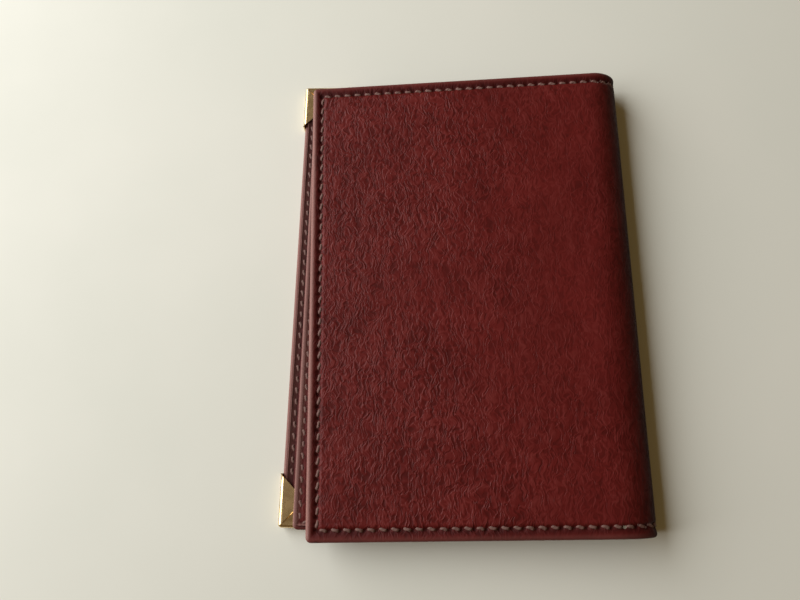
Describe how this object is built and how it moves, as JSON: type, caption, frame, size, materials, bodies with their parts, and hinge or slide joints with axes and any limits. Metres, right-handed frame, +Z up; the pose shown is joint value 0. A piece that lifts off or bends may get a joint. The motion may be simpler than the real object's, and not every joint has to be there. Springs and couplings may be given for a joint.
{
  "type": "passport holder",
  "caption": "Closed leather passport holder with a round folding spine, stitched edges, brass caps on the front cover's outer corners and a hinged inner page with card slots.",
  "frame": {"origin": "centre of the closed holder's footprint, on the surface it lies on", "axes": "+X from the open edge to the spine, +Y along the spine to the top end, +Z up from the front cover to the back cover"},
  "size_m": [0.1012, 0.1398, 0.0119],
  "materials": {
    "cover_leather": "pebbled grain, semi-gloss, worn pink at the rims",
    "pocket_leather": "fine grain, satin",
    "lining": "fine woven, matte",
    "board": "grey-brown bookbinder's board, matte",
    "thread": "twisted waxed thread",
    "brass": "polished",
    "window_film": "clear film"
  },
  "bodies": {
    "front_cover": {"front_cover_leather": "cover_leather", "front_cover_board": "board", "front_lining": "lining", "front_pocket": "pocket_leather", "front_stitching": "thread", "front_corner_top": "brass", "front_corner_bottom": "brass"},
    "spine_front": {"spine_leather_front": "cover_leather", "spine_lining_front": "lining", "spine_stitching_front": "thread"},
    "spine_middle": {"spine_leather_middle": "cover_leather", "spine_lining_middle": "lining", "spine_stitching_middle": "thread", "page_anchor_strip": "lining"},
    "spine_back": {"spine_leather_back": "cover_leather", "spine_lining_back": "lining", "spine_stitching_back": "thread"},
    "back_cover": {"back_cover_leather": "cover_leather", "back_cover_board": "board", "back_lining": "lining", "back_pocket": "pocket_leather", "back_stitching": "thread"},
    "page": {"page_hinge_strip": "lining", "page_board": "board", "page_leather_front": "cover_leather", "page_leather_back": "cover_leather", "page_stitching": "thread", "card_slot_1": "pocket_leather", "card_slot_2": "pocket_leather", "card_slot_3": "pocket_leather", "id_window": "window_film"}
  },
  "joints": [
    {"name": "front_fold_outer", "type": "hinge", "parent": "front_cover", "child": "spine_front", "pos_m": [0.04703, -0.00026, 0.00031], "axis": [0, 1, 0], "range_deg": [0, 45]},
    {"name": "front_fold_inner", "type": "hinge", "parent": "spine_front", "child": "spine_middle", "pos_m": [0.05033, -0.00026, 0.00361], "axis": [0, 1, 0], "range_deg": [0, 45]},
    {"name": "back_fold_inner", "type": "hinge", "parent": "spine_middle", "child": "spine_back", "pos_m": [0.05033, -0.00026, 0.00829], "axis": [0, 1, 0], "range_deg": [0, 45.93]},
    {"name": "back_fold_outer", "type": "hinge", "parent": "spine_back", "child": "back_cover", "pos_m": [0.04703, -0.00026, 0.01159], "axis": [0, 1, 0], "range_deg": [0, 45.93]},
    {"name": "page_fold", "type": "hinge", "parent": "spine_middle", "child": "page", "pos_m": [0.04689, -0.00026, 0.00595], "axis": [0, 1, 0], "range_deg": [-88.48, 0]}
  ],
  "couplings": [
    {"joint": "front_fold_inner", "follows": "front_fold_outer", "ratio": 1},
    {"joint": "page_fold", "follows": "front_fold_outer", "ratio": -1.966},
    {"joint": "back_fold_outer", "follows": "back_fold_inner", "ratio": 1}
  ]
}
